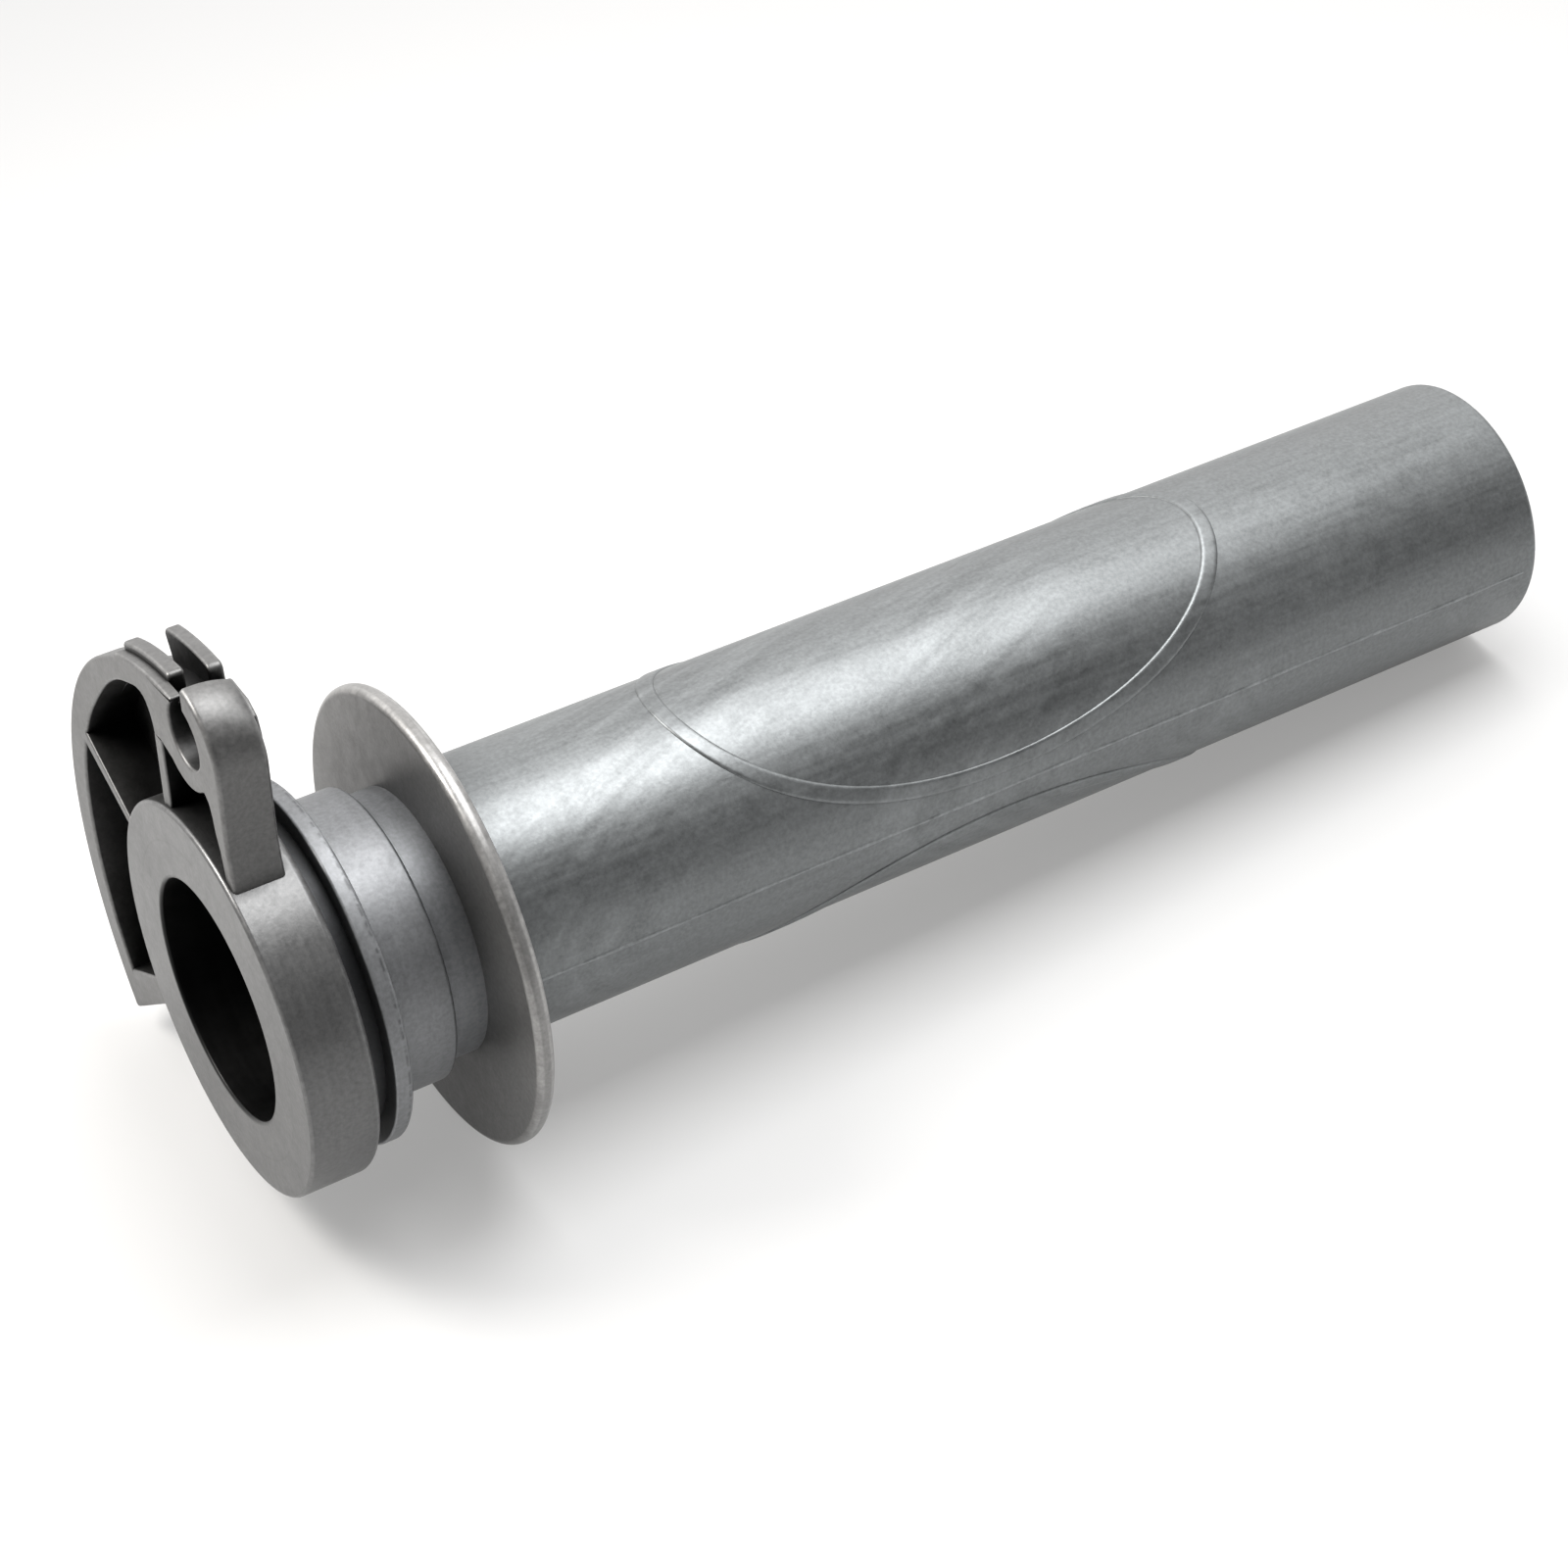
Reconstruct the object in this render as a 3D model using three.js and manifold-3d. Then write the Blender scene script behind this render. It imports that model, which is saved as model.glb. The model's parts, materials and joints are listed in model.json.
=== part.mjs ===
// Motorcycle throttle tube: a cable drum with a cam, two journals, a grip flange and
// a long sleeve. Lengths are in millimetres and angles are in degrees.
// +X is the handlebar axis, from the drum face (x = 0) to the free end of the sleeve.
// Angles about X are measured from +Y towards +Z.

import * as THREE from 'three';
import { mergeVertices } from 'three/addons/utils/BufferGeometryUtils.js';
import Module from 'manifold-3d';

// ---- Driving dimensions ------------------------------------------------------------

const SEGMENTS = 120;              // facets round the axis
const STEP = 360 / SEGMENTS;

const BORE_R = 11.25;              // runs on a 22.2 mm (7/8 in) handlebar

const RING_X1 = 6.6;
const RING_R = 18.4;
const RING_FRONT_CHAMFER = 0.35;
const RING_REAR_ROUND = 0.8;

const NECK_X1 = 8.6;               // relief groove behind the drum
const NECK_R = 15.0;

const COLLAR_X1 = 10.3;
const COLLAR_R = 17.0;
const COLLAR_ROUND = 0.3;

const JOURNAL_A_X1 = 16.2;
const JOURNAL_A_R = 13.8;
const JOURNAL_A_CHAMFER = 0.25;
const JOURNAL_B_X1 = 19.7;
const JOURNAL_B_R = 12.55;

const FLANGE_X1 = 21.5;
const FLANGE_R = 21.75;
const FLANGE_ROUND = 0.7;

const TUBE_X1 = 138.3;
const TUBE_R = 13.0;
const TUBE_END_CHAMFER = 0.6;

const CAM_X0 = 0.5;                // front face of the cam
const GROOVE_X0 = 3.0;             // cable groove, front and rear walls
const GROOVE_X1 = 5.2;
const CAM_X1 = RING_X1;
const CAM_R = 31.3;
const CAM_WALL_IN = 28.2;          // inside of the rim wall
const GROOVE_R = 29.3;             // floor of the cable groove
const CAM_END = -40.6;             // lower end face of the cam
const END_WEB_TOP = -33.0;
const SPOKE_FROM = 21.9;
const SPOKE_TO = 25.0;
const GUIDE_FROM = 63.0;           // where the raised cable guide starts
const SEAT_R = 31.7;                // front plate of the cable seat
const SEAT_STEP_X = 1.5;
const GUIDE_R = 32.4;              // raised wall behind that plate
const GUIDE_WALL_Y = 4.6;          // where the raised wall stops short of the slot
const TAB_TO = 80.5;               // rear tab of the guide
const TAB_R_TO = 31.3;

const UPPER_SPOKE_Y0 = 5.6;
const UPPER_SPOKE_Y1 = 7.25;
const UPPER_SPOKE_TOP = 24.8;

const NIPPLE_Y = 0.15;             // seat for the barrel end of the cable
const NIPPLE_Z = 29.1;
const NIPPLE_R = 2.95;
const SLOT_Y0 = -0.3;              // slot that the cable is dropped through
const SLOT_Y1 = 2.1;
const NOTCH_Z = 30.3;              // floor of the notch behind the slot
const BOSS_Y = 0.9;                // curved underside of the seat
const BOSS_Z = 28.4;
const BOSS_R = 4.8;
const SPLIT_ANGLE = -100;          // where the seat meets the hook

const HOOK_Y = -0.5;               // round back of the hook
const HOOK_Z = 28.6;
const HOOK_R = 5.8;
const LEG_Y0 = -6.8;               // foot of the hook on the drum
const LEG_Y1 = -5.2;
const WEB_SIDE_Y = -1.8;           // the back web stops short of the hook
const WEB_TOP_Z = 30.4;

const OVAL_X = 74.0;               // raised oval bands on the sleeve
const OVAL_HALF_LENGTH = 29.4;
const OVAL_HALF_ANGLE = 77;
const OVAL_SIDES = [
  { tag: 'top', centre: 90 },
  { tag: 'under', centre: 270 },
];
const BEAD_HEIGHT = 0.25;
const BEAD_BASE = 1.7;
const BEAD_TOP = 1.25;
const BEAD_STEPS = 84;
const BEAD_ROOT = 0.4;             // depth below the sleeve surface before trimming

const PARTING_HEIGHT = 0.12;       // mould parting lines along the sleeve
const PARTING_WIDTH = 0.5;
const PARTING_X0 = 23.0;
const PARTING_X1 = 136.5;
const PARTING_ANGLES = [
  { tag: 'near', facet: 178.5 },
  { tag: 'far', facet: 358.5 },
];

// ---- Materials ---------------------------------------------------------------------

const COLOURS = {
  drum_plastic: 0x8f8d8b,
  sleeve_plastic: 0x85898c,
};

// ---- Helpers -----------------------------------------------------------------------

const rad = THREE.MathUtils.degToRad;

function signedVolume(geometry) {
  const p = geometry.attributes.position;
  const index = geometry.index.array;
  const a = new THREE.Vector3();
  const b = new THREE.Vector3();
  const c = new THREE.Vector3();
  let sum = 0;
  for (let i = 0; i < index.length; i += 3) {
    a.fromBufferAttribute(p, index[i]);
    b.fromBufferAttribute(p, index[i + 1]);
    c.fromBufferAttribute(p, index[i + 2]);
    sum += a.dot(b.cross(c)) / 6;
  }
  return sum;
}

// Welds the vertices and turns every face outwards.
function closeSolid(source) {
  source.deleteAttribute('normal');
  source.deleteAttribute('uv');
  const geometry = mergeVertices(source, 1e-5);
  if (signedVolume(geometry) < 0) {
    const index = geometry.index.array;
    for (let i = 0; i < index.length; i += 3) {
      [index[i + 1], index[i + 2]] = [index[i + 2], index[i + 1]];
    }
  }
  geometry.computeVertexNormals();
  return geometry;
}

function addPart(group, name, slot, geometry) {
  const material = new THREE.MeshStandardMaterial({
    name: slot,
    color: COLOURS[slot],
    roughness: 0.45,
    metalness: 0.3,
  });
  const mesh = new THREE.Mesh(geometry, material);
  mesh.name = name;
  group.add(mesh);
  return mesh;
}

// Turns a closed outline of [x, radius] points about the X axis.
function turned(outline) {
  const points = outline.map(([x, r]) => new THREE.Vector2(r, x));
  points.push(points[0].clone());
  const geometry = new THREE.LatheGeometry(points, SEGMENTS);
  const toAxisX = new THREE.Matrix4().set(
    0, 1, 0, 0,
    0, 0, 1, 0,
    1, 0, 0, 0,
    0, 0, 0, 1,
  );
  geometry.applyMatrix4(toAxisX);
  return closeSolid(geometry);
}

// Extrudes a closed outline of [y, z] points from x0 to x1.
function plate(outline, x0, x1) {
  const shape = new THREE.Shape(outline.map(([y, z]) => new THREE.Vector2(y, z)));
  const geometry = new THREE.ExtrudeGeometry(shape, {
    depth: x1 - x0,
    steps: 1,
    bevelEnabled: false,
  });
  const toAxisX = new THREE.Matrix4().set(
    0, 0, 1, x0,
    1, 0, 0, 0,
    0, 1, 0, 0,
    0, 0, 0, 1,
  );
  geometry.applyMatrix4(toAxisX);
  return closeSolid(geometry);
}

// A point of the faceted circle of radius r about the X axis, at the given angle.
function onFacet(r, angle) {
  const within = angle - Math.floor(angle / STEP) * STEP;
  const reach = r * Math.cos(rad(STEP / 2)) / Math.cos(rad(within - STEP / 2));
  return [reach * Math.cos(rad(angle)), reach * Math.sin(rad(angle))];
}

// The faceted circle between two angles, in either direction, ends included.
function facetArc(r, from, to) {
  const low = Math.min(from, to);
  const high = Math.max(from, to);
  const angles = [low];
  for (let k = Math.floor(low / STEP) + 1; k * STEP < high - 1e-6; k += 1) {
    if (k * STEP > low + 1e-6) {
      angles.push(k * STEP);
    }
  }
  angles.push(high);
  if (from > to) {
    angles.reverse();
  }
  return angles.map((angle) => onFacet(r, angle));
}

// A free arc about any centre, in either direction, ends included.
function freeArc(y, z, r, from, to, count) {
  const points = [];
  for (let i = 0; i <= count; i += 1) {
    const angle = rad(from + (to - from) * i / count);
    points.push([y + r * Math.cos(angle), z + r * Math.sin(angle)]);
  }
  return points;
}

// The angle at which the faceted circle of radius r has the given y, above the axis.
function angleAtY(r, y) {
  let low = 0;
  let high = 180;
  for (let i = 0; i < 60; i += 1) {
    const middle = (low + high) / 2;
    if (onFacet(r, middle)[0] > y) {
      low = middle;
    } else {
      high = middle;
    }
  }
  return (low + high) / 2;
}

// ---- Turned sections ---------------------------------------------------------------

function ringOutline() {
  const c = RING_FRONT_CHAMFER;
  const q = RING_REAR_ROUND;
  return [
    [0, BORE_R],
    [0, RING_R - c],
    [c, RING_R],
    [RING_X1 - q, RING_R],
    [RING_X1 - q * 0.3, RING_R - q * 0.3],
    [RING_X1, RING_R - q],
    [RING_X1, BORE_R],
  ];
}

function collarOutline() {
  const q = COLLAR_ROUND;
  return [
    [NECK_X1, BORE_R],
    [NECK_X1, COLLAR_R - q],
    [NECK_X1 + q, COLLAR_R],
    [COLLAR_X1 - q, COLLAR_R],
    [COLLAR_X1, COLLAR_R - q],
    [COLLAR_X1, BORE_R],
  ];
}

function journalOutline() {
  const c = JOURNAL_A_CHAMFER;
  return [
    [COLLAR_X1, BORE_R],
    [COLLAR_X1, JOURNAL_A_R],
    [JOURNAL_A_X1 - c, JOURNAL_A_R],
    [JOURNAL_A_X1, JOURNAL_A_R - c],
    [JOURNAL_A_X1, BORE_R],
  ];
}

function flangeOutline() {
  const q = FLANGE_ROUND;
  return [
    [JOURNAL_B_X1, BORE_R],
    [JOURNAL_B_X1, FLANGE_R - q],
    [JOURNAL_B_X1 + q * 0.3, FLANGE_R - q * 0.3],
    [JOURNAL_B_X1 + q, FLANGE_R],
    [FLANGE_X1 - q, FLANGE_R],
    [FLANGE_X1 - q * 0.3, FLANGE_R - q * 0.3],
    [FLANGE_X1, FLANGE_R - q],
    [FLANGE_X1, TUBE_R],
    [FLANGE_X1, BORE_R],
  ];
}

function tubeOutline() {
  const c = TUBE_END_CHAMFER;
  return [
    [FLANGE_X1, BORE_R],
    [FLANGE_X1, TUBE_R],
    [TUBE_X1 - c, TUBE_R],
    [TUBE_X1, TUBE_R - c],
    [TUBE_X1, BORE_R],
  ];
}

function straightOutline(x0, x1, r) {
  return [[x0, BORE_R], [x0, r], [x1, r], [x1, BORE_R]];
}

// ---- Cam outlines, as [y, z] points ------------------------------------------------

// A sector of the cam between two radii and two angles.
function sector(inner, outer, from, to) {
  return [...facetArc(outer, from, to), ...facetArc(inner, to, from)];
}

function upperSpokeOutline() {
  const from = angleAtY(RING_R, UPPER_SPOKE_Y1);
  const to = angleAtY(RING_R, UPPER_SPOKE_Y0);
  return [
    ...facetArc(RING_R, from, to),
    [UPPER_SPOKE_Y0, UPPER_SPOKE_TOP],
    [UPPER_SPOKE_Y1, UPPER_SPOKE_TOP],
  ];
}

// The seat is bounded by the pocket beside it, the rim, the cable barrel and the slot.
function seatOutline(rim, barrelFrom) {
  return [
    [UPPER_SPOKE_Y0, UPPER_SPOKE_TOP],
    [UPPER_SPOKE_Y1, UPPER_SPOKE_TOP],
    [7.4, 26.0],
    [7.9, 26.85],
    [8.7, 27.25],
    [9.8, 27.1],
    [11.4, 26.2],
    onFacet(CAM_WALL_IN, GUIDE_FROM),
    ...rim,
    ...freeArc(NIPPLE_Y, NIPPLE_Z, NIPPLE_R, barrelFrom, SPLIT_ANGLE, 14),
    ...freeArc(BOSS_Y, BOSS_Z, BOSS_R, SPLIT_ANGLE, -58, 6),
  ];
}

function hookOutline() {
  const tipAngle = 90 + THREE.MathUtils.radToDeg(Math.asin((NIPPLE_Y - SLOT_Y0) / NIPPLE_R));
  const backAngle = THREE.MathUtils.radToDeg(Math.acos((SLOT_Y0 - HOOK_Y) / HOOK_R));
  const base = facetArc(RING_R, angleAtY(RING_R, LEG_Y0), angleAtY(RING_R, LEG_Y1));
  return [
    ...freeArc(NIPPLE_Y, NIPPLE_Z, NIPPLE_R, SPLIT_ANGLE, tipAngle - 360, 16),
    ...freeArc(HOOK_Y, HOOK_Z, HOOK_R, backAngle, 180, 16),
    [-6.25, 24.4],
    [-6.2, 21.0],
    [-6.4, 19.0],
    ...base,
    [-4.7, 20.3],
    [-4.15, 22.0],
    [-3.9, 23.6],
    [-3.55, 24.7],
    [-2.95, 25.2],
    ...freeArc(BOSS_Y, BOSS_Z, BOSS_R, -135, SPLIT_ANGLE, 5),
  ];
}

// The closed back of the cam, up to the floor of the cable groove.
function backWebOutline() {
  const side = angleAtY(RING_R, WEB_SIDE_Y);
  return [
    ...facetArc(GROOVE_R, CAM_END, TAB_TO),
    [3.6, WEB_TOP_Z],
    [0.4, WEB_TOP_Z],
    [-1.2, WEB_TOP_Z - 0.8],
    [WEB_SIDE_Y, WEB_TOP_Z - 2.4],
    ...facetArc(RING_R, side, CAM_END),
  ];
}

// The rear tab of the cable guide. Its crest falls slowly towards the slot.
function tabOutline() {
  const steps = 8;
  const crest = [];
  for (let i = 0; i <= steps; i += 1) {
    const angle = GUIDE_FROM + (TAB_TO - GUIDE_FROM) * i / steps;
    const r = GUIDE_R + (TAB_R_TO - GUIDE_R) * i / steps;
    crest.push([r * Math.cos(rad(angle)), r * Math.sin(rad(angle))]);
  }
  return [...crest, ...facetArc(GROOVE_R, TAB_TO, GUIDE_FROM)];
}

// ---- Raised lines on the sleeve ----------------------------------------------------

// A low band of trapezoid section that follows an oval wrapped round the sleeve.
function ovalBand(centre) {
  const vertices = [];
  const faces = [];
  const halfLength = OVAL_HALF_LENGTH;
  const reach = TUBE_R * rad(OVAL_HALF_ANGLE);
  const low = TUBE_R - BEAD_ROOT;
  const high = TUBE_R + BEAD_HEIGHT;
  for (let i = 0; i < BEAD_STEPS; i += 1) {
    const t = 2 * Math.PI * i / BEAD_STEPS;
    const across = new THREE.Vector2(reach * Math.cos(t), halfLength * Math.sin(t)).normalize();
    const section = [
      [-BEAD_BASE / 2, low],
      [BEAD_BASE / 2, low],
      [BEAD_TOP / 2, high],
      [-BEAD_TOP / 2, high],
    ];
    for (const [offset, r] of section) {
      const x = OVAL_X + halfLength * Math.cos(t) + across.x * offset;
      const turn = rad(centre) + (reach * Math.sin(t) + across.y * offset) / TUBE_R;
      vertices.push(x, r * Math.cos(turn), r * Math.sin(turn));
    }
    const next = (i + 1) % BEAD_STEPS;
    for (let k = 0; k < 4; k += 1) {
      const a = i * 4 + k;
      const b = i * 4 + (k + 1) % 4;
      const c = next * 4 + (k + 1) % 4;
      const d = next * 4 + k;
      faces.push(a, b, c, a, c, d);
    }
  }
  const geometry = new THREE.BufferGeometry();
  geometry.setAttribute('position', new THREE.Float32BufferAttribute(vertices, 3));
  geometry.setIndex(faces);
  return closeSolid(geometry);
}

// A low rib that stands on one facet of the sleeve.
function partingRib(facet) {
  const base = TUBE_R * Math.cos(rad(STEP / 2));
  const geometry = new THREE.BoxGeometry(
    PARTING_X1 - PARTING_X0, PARTING_HEIGHT, PARTING_WIDTH);
  geometry.translate((PARTING_X0 + PARTING_X1) / 2, base + PARTING_HEIGHT / 2, 0);
  geometry.rotateX(rad(facet));
  return closeSolid(geometry);
}

function toManifold(wasm, geometry) {
  return new wasm.Manifold(new wasm.Mesh({
    numProp: 3,
    vertProperties: new Float32Array(geometry.attributes.position.array),
    triVerts: new Uint32Array(geometry.index.array),
  }));
}

function fromManifold(solid) {
  const mesh = solid.getMesh();
  const geometry = new THREE.BufferGeometry();
  geometry.setAttribute('position', new THREE.BufferAttribute(mesh.vertProperties, 3));
  geometry.setIndex(new THREE.BufferAttribute(mesh.triVerts, 1));
  return closeSolid(geometry);
}

// ---- Assembly ----------------------------------------------------------------------

async function build() {
  const wasm = await Module();
  wasm.setup();
  const group = new THREE.Group();
  group.name = 'throttle_grip';

  const turnedParts = [
    ['drum_ring', 'drum_plastic', ringOutline()],
    ['drum_neck', 'drum_plastic', straightOutline(RING_X1, NECK_X1, NECK_R)],
    ['rear_collar', 'drum_plastic', collarOutline()],
    ['front_journal', 'drum_plastic', journalOutline()],
    ['rear_journal', 'drum_plastic', straightOutline(JOURNAL_A_X1, JOURNAL_B_X1, JOURNAL_B_R)],
    ['grip_flange', 'sleeve_plastic', flangeOutline()],
    ['grip_sleeve', 'sleeve_plastic', tubeOutline()],
  ];
  for (const [name, slot, outline] of turnedParts) {
    addPart(group, name, slot, turned(outline));
  }

  const barrelAngle = (y) => THREE.MathUtils.radToDeg(Math.acos((y - NIPPLE_Y) / NIPPLE_R));
  const frontSeat = seatOutline(
    facetArc(SEAT_R, GUIDE_FROM, angleAtY(SEAT_R, SLOT_Y1)), barrelAngle(SLOT_Y1));
  const middleSeat = seatOutline([
    ...facetArc(GUIDE_R, GUIDE_FROM, angleAtY(GUIDE_R, GUIDE_WALL_Y)),
    [GUIDE_WALL_Y - 0.2, NOTCH_Z],
  ], THREE.MathUtils.radToDeg(Math.asin((NOTCH_Z - NIPPLE_Z) / NIPPLE_R)));
  const rearSeat = seatOutline(facetArc(GROOVE_R, GUIDE_FROM, 83.6), 2);
  const frontWall = sector(CAM_WALL_IN, CAM_R, CAM_END, GUIDE_FROM);
  const grooveFloor = sector(CAM_WALL_IN, GROOVE_R, CAM_END, GUIDE_FROM);
  const endWeb = sector(RING_R, CAM_WALL_IN, CAM_END, END_WEB_TOP);
  const lowerSpoke = sector(RING_R, CAM_WALL_IN, SPOKE_FROM, SPOKE_TO);
  const camPlates = [
    ['cam_front_wall', CAM_X0, GROOVE_X0, frontWall],
    ['cam_groove_floor', GROOVE_X0, GROOVE_X1, grooveFloor],
    ['cam_end_web', CAM_X0, GROOVE_X1, endWeb],
    ['cam_lower_spoke', CAM_X0, GROOVE_X1, lowerSpoke],
    ['cam_upper_spoke', CAM_X0, GROOVE_X1, upperSpokeOutline()],
    ['cable_seat_front', CAM_X0, SEAT_STEP_X, frontSeat],
    ['cable_seat_middle', SEAT_STEP_X, GROOVE_X0, middleSeat],
    ['cable_seat_rear', GROOVE_X0, GROOVE_X1, rearSeat],
    ['cable_guide_tab', GROOVE_X1, CAM_X1, tabOutline()],
    ['cable_hook', CAM_X0, GROOVE_X1, hookOutline()],
    ['cam_back_web', GROOVE_X1, CAM_X1, backWebOutline()],
  ];
  for (const [name, x0, x1, outline] of camPlates) {
    addPart(group, name, 'drum_plastic', plate(outline, x0, x1));
  }

  const sleeveCore = toManifold(wasm, turned([
    [FLANGE_X1, 0],
    [FLANGE_X1, TUBE_R],
    [TUBE_X1, TUBE_R],
    [TUBE_X1, 0],
  ]));
  for (const { tag, centre } of OVAL_SIDES) {
    const band = toManifold(wasm, ovalBand(centre));
    addPart(group, `oval_band_${tag}`, 'sleeve_plastic', fromManifold(band.subtract(sleeveCore)));
  }
  for (const { tag, facet } of PARTING_ANGLES) {
    addPart(group, `parting_line_${tag}`, 'sleeve_plastic', partingRib(facet));
  }
  return group;
}

export default await build();
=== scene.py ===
import json
import math

import bmesh
import bpy
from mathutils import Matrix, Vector

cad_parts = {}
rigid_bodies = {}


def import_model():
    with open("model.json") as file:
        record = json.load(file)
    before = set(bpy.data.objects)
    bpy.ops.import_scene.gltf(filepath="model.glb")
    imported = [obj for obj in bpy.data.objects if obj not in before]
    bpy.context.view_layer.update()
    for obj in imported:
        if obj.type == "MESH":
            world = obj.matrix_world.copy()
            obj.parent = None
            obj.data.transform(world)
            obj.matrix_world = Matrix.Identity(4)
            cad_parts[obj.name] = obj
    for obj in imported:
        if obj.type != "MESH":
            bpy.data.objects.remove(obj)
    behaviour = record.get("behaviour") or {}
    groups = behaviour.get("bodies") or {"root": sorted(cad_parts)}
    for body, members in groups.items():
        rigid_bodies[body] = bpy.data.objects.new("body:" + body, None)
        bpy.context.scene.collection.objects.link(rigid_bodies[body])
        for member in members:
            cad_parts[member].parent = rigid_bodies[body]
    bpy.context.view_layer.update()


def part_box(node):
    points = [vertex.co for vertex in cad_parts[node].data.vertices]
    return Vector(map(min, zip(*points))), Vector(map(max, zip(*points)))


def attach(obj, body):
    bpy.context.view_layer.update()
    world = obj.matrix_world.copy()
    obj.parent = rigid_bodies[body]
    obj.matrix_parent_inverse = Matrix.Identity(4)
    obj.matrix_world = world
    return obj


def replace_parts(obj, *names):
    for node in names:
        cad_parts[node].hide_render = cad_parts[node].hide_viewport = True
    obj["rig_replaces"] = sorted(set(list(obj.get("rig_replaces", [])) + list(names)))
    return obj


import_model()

MM = 0.001


# ---- Sizes, in millimetres, taken from the CAD nodes -----------------------------------

def span(node, axis):
    low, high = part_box(node)
    return low[axis] / MM, high[axis] / MM


RING_X0, RING_X1 = span("drum_ring", 0)
RING_R = span("drum_ring", 2)[1]
NECK_X1 = span("drum_neck", 0)[1]
NECK_R = span("drum_neck", 2)[1]
COLLAR_X1 = span("rear_collar", 0)[1]
COLLAR_R = span("rear_collar", 2)[1]
JOURNAL_A_X1 = span("front_journal", 0)[1]
JOURNAL_A_R = span("front_journal", 2)[1]
JOURNAL_B_X1 = span("rear_journal", 0)[1]
JOURNAL_B_R = span("rear_journal", 2)[1]
FLANGE_X1 = span("grip_flange", 0)[1]
FLANGE_R = span("grip_flange", 2)[1]
TUBE_X1 = span("grip_sleeve", 0)[1]
TUBE_R = span("grip_sleeve", 2)[1]
BORE_R = 11.25                  # the bore takes a 22.2 mm handlebar
CAM_X0 = span("cam_front_wall", 0)[0]
GROOVE_X0 = span("cam_front_wall", 0)[1]
GROOVE_X1 = span("cam_groove_floor", 0)[1]
SEAT_STEP_X = span("cable_seat_front", 0)[1]
CAM_R = span("cam_front_wall", 1)[1]

# Radii of the cam
CAM_WALL_IN = 28.1              # inside of the rim wall
APEX_R = 29.15                  # the pocket's reach beside the cable seat, in front
APEX_BEHIND_R = 28.7            # and behind the groove
GROOVE_R = 29.3                 # floor of the cable groove
SEAT_R = 31.7                   # front plate of the cable seat
GUIDE_R = 32.4                  # raised wall behind that plate
TAB_R_TO = 31.3                 # the guide tab's crest falls to this at its end
SINK = 0.6                      # how far the cam's feet run into the drum ring
FOOT_R = RING_R - SINK
EDGE = 0.28                     # rounding of the cam's edges
SPOKE_EDGE = 0.2

# Angles of the cam, in degrees from +Y towards +Z
CAM_END = -40.6
END_WEB_TOP = -33.0
SPOKE_FROM, SPOKE_TO = 21.9, 25.0
SWELL_FROM = 38.0               # where the pocket starts to swell towards the seat
GUIDE_FROM = 63.0
TAB_TO = 80.5
REAR_SEAT_TO = 83.6

# Heights and widths beside the cable seat
UPPER_SPOKE_Y0, UPPER_SPOKE_Y1, UPPER_SPOKE_FOOT_Y1 = 5.6, 7.1, 7.25
UPPER_SPOKE_TOP = 24.8
UPPER_SPOKE_MIDDLE_Y = 6.4
SLOT_Y0, SLOT_Y1 = -0.3, 2.1    # the slot that the cable is dropped through
GUIDE_WALL_Y = 4.6
NOTCH_Z = 30.3
WEB_SIDE_Y, WEB_TOP_Z = -1.8, 30.4

# Circles given as y, z and radius
NIPPLE = (0.15, 29.1, 2.95)     # seat of the cable's barrel end
BOSS = (0.9, 28.4, 4.8)         # curved underside of that seat
HOOK = (-0.5, 28.6, 5.8)        # round back of the hook
SPLIT = -100.0                  # angle at which the seat meets the hook

# How the hook's crown falls away towards its back
DROOP = 0.85
DROOP_FROM_X = 1.6
DROOP_FROM_Z, DROOP_OVER_Z = 29.5, 4.0

# Fine lines in the plastic's colour: where the score stands on the collar, and the radius of
# the turned line on the drum's face
SCORE_X = 9.9
TURNED_LINE_R = 14.8

# Raised lines on the sleeve
OVAL_X = 74.0
OVAL_HALF_LENGTH = 29.4
OVAL_REACH = TUBE_R * math.radians(77.0)


# ---- Mesh helpers ----------------------------------------------------------------------

SAME_POINT = 1e-4               # points of an outline nearer than this are one, in millimetres
SOFT_TURN = 35.0                # corners that turn by fewer degrees stay as they are
EDGE_SHARE = 0.85               # a rounded corner takes at most this share of an edge
CORNER_STEPS = 6
RIM_STEPS = 4


def arc(y, z, r, a0, a1, step=2.0):
    """Points of an arc about the centre (y, z), from a0 to a1 degrees, ends included."""
    n = max(2, int(math.ceil(abs(a1 - a0) / step)))
    out = []
    for i in range(n + 1):
        a = math.radians(a0 + (a1 - a0) * i / n)
        out.append((y + r * math.cos(a), z + r * math.sin(a)))
    return out


def about_axis(r, a0, a1, step=1.0):
    """Points (y, z) of an arc about the handlebar axis."""
    return arc(0.0, 0.0, r, a0, a1, step)


def on_circle(circle, angle):
    """The point (y, z) of a circle (y, z, radius) at an angle in degrees."""
    y, z, r = circle
    return (y + r * math.cos(math.radians(angle)), z + r * math.sin(math.radians(angle)))


def polar(r, a):
    """The point (y, z) at radius r and a degrees about the handlebar axis."""
    return (r * math.cos(math.radians(a)), r * math.sin(math.radians(a)))


def line(*points):
    return list(points)


def side_of(outline):
    """1 for an outline that runs anticlockwise and -1 for one that runs clockwise."""
    area = sum(outline[i - 1][0] * outline[i][1] - outline[i][0] * outline[i - 1][1]
               for i in range(len(outline)))
    return 1 if area > 0 else -1


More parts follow.
